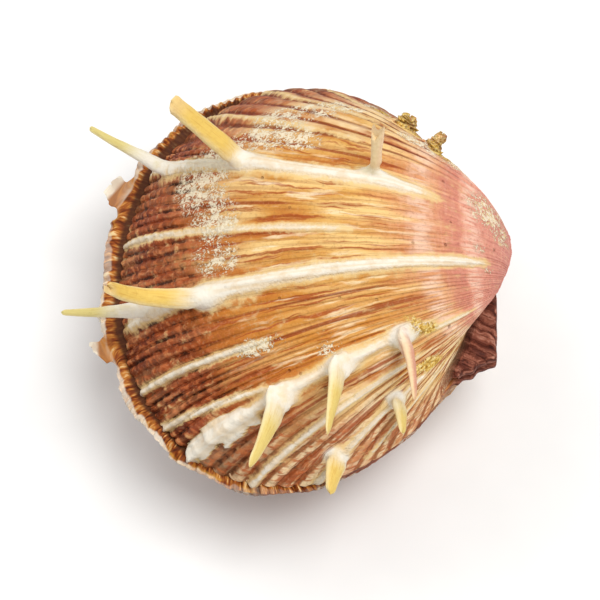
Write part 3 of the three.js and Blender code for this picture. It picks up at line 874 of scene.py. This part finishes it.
# Its beak: fine growth rings, two broad pale ones and a ruddy one between them.
colour = colour.mix(shade(232, 178, 150), ring.ease(0.48, 0.68) * growth.ease(0.5, 0.3) * 0.4)
colour = colour.mix(shade(160, 86, 74), hair.ease(0.52, 0.64) * growth.ease(0.42, 0.26) * 0.35)
uneven = growth + (clump - 0.5) * 0.05
outer_ring = uneven.ease(0.35, 0.385) * uneven.ease(0.425, 0.39)
inner_ring = uneven.ease(0.25, 0.28) * uneven.ease(0.31, 0.285)
ruddy_ring = uneven.ease(0.3, 0.315) * uneven.ease(0.36, 0.335)
colour = colour.mix(shade(246, 214, 190), (outer_ring + inner_ring) * smear.ease(0.36, 0.56) * 0.6)
colour = colour.mix(shade(190, 106, 98), ruddy_ring * smear.ease(0.36, 0.5) * 0.45)

# Its dark grooves and lines, and the beaded outer third with painted shade in its hollows.
dark_groove = groove * middle * (streak * 0.6 + hair * 0.4).ease(0.56, 0.42)
colour = colour.mix(shade(146, 68, 30), dark_groove * 0.35)
colour = colour.mix(shade(150, 66, 28), dark.ease(0.25, 0.7) * 0.85)
colour = colour.mix(shade(186, 102, 56), outer * (1 - groove) * bead.ease(0.48, 0.6) * 0.9)
colour = colour.mix(shade(176, 92, 58), outer * ruddy.ease(0.5, 0.64) * 0.5)
colour = colour.mix(shade(204, 128, 80), outer * streak.ease(0.52, 0.66) * 0.75)
# Painted shade: near-black in the grooves and low beads of the outer third, weaker on the near flank.
painted_shade_in_hollows = outer * (1 - flank * 0.7) * (0.35 + groove * 0.65) * (bead * 0.45 + smear * 0.55).ease(0.52, 0.42)
colour = colour.mix(shade(46, 18, 8), painted_shade_in_hollows * 0.9)
colour = colour.mix(shade(96, 50, 26), speck.ease(0.52, 0.7) * 0.22)
colour = colour.mix(shade(244, 214, 172), speck.ease(0.46, 0.3) * 0.1)

# Its far flank: cream riblets parted by narrow dark furrows.
furrow = (wavering * 0.15 + riblet * 0.85) * TURN
furrow = furrow.math("COSINE").ease(-0.45, -0.95) * far_flank * growth.ease(0.25, 0.45)
far_cream = far_flank * (1 - groove) * streak.ease(0.4, 0.56) * middle
colour = colour.mix(shade(240, 208, 158), far_cream * 0.6)
colour = colour.mix(shade(120, 48, 24), furrow * (0.55 + streak.ease(0.6, 0.4) * 0.4))

# Its white ribs, frayed at their sides and stained.
fray = (streak - 0.5) * 0.5 + (bead - 0.5) * (0.25 + outer * 0.5)
fray = fray + (speck - 0.5) * 0.4 + (clump - 0.5) * 0.7
ivory = (white + fray).ease(0.35, 0.9)
colour = colour.mix(shade(230, 198, 138), (white + fray).ease(0.06, 0.4) * 0.85)
colour = colour.mix(shade(238, 230, 214), ivory * (0.97 - groove * 0.25 - hair.ease(0.5, 0.7) * 0.2))
stain = (clump * 0.6 + streak * 0.4).ease(0.47, 0.6)
colour = colour.mix(shade(216, 180, 126), ivory * stain * 0.38)

# Its spines: yellow, greenish, cream or rose horn with fine fibres, white at the root and worn at the tip.
horn = tint.node("ValToRGB", {"stops": [
    (0.0, shade(230, 194, 100)), (0.5, shade(216, 200, 128)), (0.85, shade(242, 212, 174)),
    (1.0, shade(212, 152, 126)),
]}, {"Fac": tint})
fibre = wire.vector(riblet * 34, along * 4, 71.0).grain(1.0, 2.0)
horn = horn.mix(shade(196, 140, 58), fibre.ease(0.5, 0.68) * (1 - tint * 0.8) * 0.4)
horn = horn.mix(shade(246, 228, 178), (edge * 0.55 + speck * 0.3).ease(0.2, 0.8) * 0.7)
root_white = (along + (fibre - 0.5) * 0.2).ease(0.66, 0.22)
horn = horn.mix(shade(238, 230, 214), root_white * (1 - stain * 0.35))
horn = horn.mix(shade(232, 200, 150), along.ease(1.1, 1.3) * 0.5)
colour = colour.mix(horn, along.ease(0.015, 0.16))

# What lives on it: bored pits, white crust and moss. Then the hinge with painted shade beside it, and the
# porcelain hollow.
cells = {"Vector": place, "Scale": 330.0, "Randomness": 1.0}
pit = place.node("TexVoronoi", {"feature": "F1"}, cells, "Distance")
on_spine = along.ease(0.05, 0.3)
plain = 1 - on_spine
pitted = pit.ease(0.14, 0.08) * cloud.ease(0.48, 0.58) * (1 - outer) * plain
colour = colour.mix(shade(120, 62, 30), pitted * 0.6)
crusting = granule + crust * 0.14 + (clump - 0.5) * 0.6 + (bead - 0.5) * 0.3
crusting = crusting.ease(0.57, 0.64) * crust.ease(0.08, 0.35)
colour = colour.mix(shade(236, 224, 196), crusting * 0.88)
colour = colour.mix(shade(206, 160, 84), crusting * speck.ease(0.46, 0.58) * growth.ease(0.4, 0.3) * 0.6)
mossing = (granule + moss * 0.3 + (clump - 0.5) * 0.5).ease(0.52, 0.62) * moss.ease(0.1, 0.4)
moss_colour = speck.node("ValToRGB", {"stops": [
    (0.35, shade(160, 114, 44)), (0.5, shade(220, 180, 88)), (0.65, shade(242, 220, 154)),
]}, {"Fac": speck})
colour = colour.mix(moss_colour, mossing)
# Hinge brown on the ear plates, and as painted shade on the valve beside them and under the beak.
colour = colour.mix(hinge_brown(place), ears_and_painted_shade)
colour = colour.mix(shade(240, 232, 218), inside.ease(0.55, 0.9))

# Its gloss and fine relief, deepest in the grooves of the outer third and of the near flank.
roughness = 0.5 + speck * 0.16 + (crusting + mossing) * 0.25 - on_spine * 0.1
height = speck * 0.35 + bead * plain * (0.2 + outer * 0.5) + (crusting + mossing) * granule * 0.4
height = height + hair * plain * middle * 0.3 + fibre * on_spine * 0.25 + clump * (ivory + on_spine) * 0.5
groove_depth = 0.06 + growth.ease(0.2, 0.45) * 0.14 + outer * 0.2 + flank * 0.2
height = height - groove * plain * (1 - ivory * 0.9) * groove_depth - pitted * 0.6
finish_shell(upper_valve, material, shader, colour, roughness, height)
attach(upper_valve, "root")
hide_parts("upper_valve")

# Studio: a plain pale floor that the scar stands on, a large soft lamp overhead, a weaker one at the far
# left, and an even pale surround.
FLOOR_HALF = 1.5
LAMP_AIM = (0, 0, 0.03)
SURROUND = 0.42
floor_mesh = bpy.data.meshes.new("floor")
floor_corners = FLOOR_HALF * np.array([(-1, -1, 0), (1, -1, 0), (1, 1, 0), (-1, 1, 0)])
floor_mesh.from_pydata(floor_corners.tolist(), [], [(0, 1, 2, 3)])
floor = bpy.data.objects.new("floor", floor_mesh)
bpy.context.scene.collection.objects.link(floor)
material, shader, wire = blank_material("pale_floor")
paper = wire.node("TexCoord", {}, {}, "Object").grain(40.0)
floor_colour = paper.node("ValToRGB", {"stops": [
    (0.3, shade(244, 243, 241)), (0.7, shade(248, 247, 245)),
]}, {"Fac": paper})
material.node_tree.links.new(floor_colour.socket, shader.inputs["Base Color"])
shader.inputs["Roughness"].default_value = 0.8
floor_mesh.materials.append(material)


def soft_lamp(name, spot, side, watts):
    """A square soft lamp of the given side in metres, turned to the shell."""
    lamp = bpy.data.lights.new(name, "AREA")
    lamp.shape = "SQUARE"
    lamp.size = side
    lamp.energy = watts
    holder = bpy.data.objects.new(name, lamp)
    holder.location = spot
    aim = Vector(LAMP_AIM) - Vector(spot)
    holder.rotation_euler = aim.to_track_quat("-Z", "Y").to_euler()
    bpy.context.scene.collection.objects.link(holder)


soft_lamp("main_lamp", (0.3, -0.1, 0.8), 0.5, 5.6)
soft_lamp("far_lamp", (-0.5, 0.4, 0.6), 0.6, 2.4)
world = bpy.data.worlds.new("surround")
world.use_nodes = True
surround = world.node_tree.nodes["Background"]
surround.inputs["Color"].default_value = (1, 1, 1, 1)
surround.inputs["Strength"].default_value = SURROUND
bpy.context.scene.world = world
bpy.context.scene.view_settings.view_transform = "Standard"

# Camera: high over the near side of the shell, so that the beak is at the right and the edge at the left.
# It is turned a little clockwise and looks at the middle of the meeting plane through a long lens.
VIEW_AZIMUTH, VIEW_ELEVATION, VIEW_ROLL = np.radians((6.7, 61.3, -8.4))
VIEW_DISTANCE = 0.38
VIEW_DROP = 0.00527
VIEW_LENS = 102.5
back = np.array([
    np.sin(VIEW_AZIMUTH) * np.cos(VIEW_ELEVATION),
    -np.cos(VIEW_AZIMUTH) * np.cos(VIEW_ELEVATION),
    np.sin(VIEW_ELEVATION),
])
level_right = unit(np.cross(-back, (0, 0, 1)))
level_up = np.cross(level_right, -back)
right = np.cos(VIEW_ROLL) * level_right + np.sin(VIEW_ROLL) * level_up
upright = np.cos(VIEW_ROLL) * level_up - np.sin(VIEW_ROLL) * level_right
stand = np.array([0, 0, MEETING * MM]) + VIEW_DISTANCE * back - VIEW_DROP * upright
camera = bpy.data.objects.new("camera", bpy.data.cameras.new("camera"))
camera.data.lens = VIEW_LENS
camera.data.sensor_width = 36
camera.data.clip_start = 0.01
camera.matrix_world = Matrix([
    (*pair, place) for pair, place in zip(zip(right, upright, back), stand)
] + [(0, 0, 0, 1)])
bpy.context.scene.collection.objects.link(camera)
bpy.context.scene.camera = camera
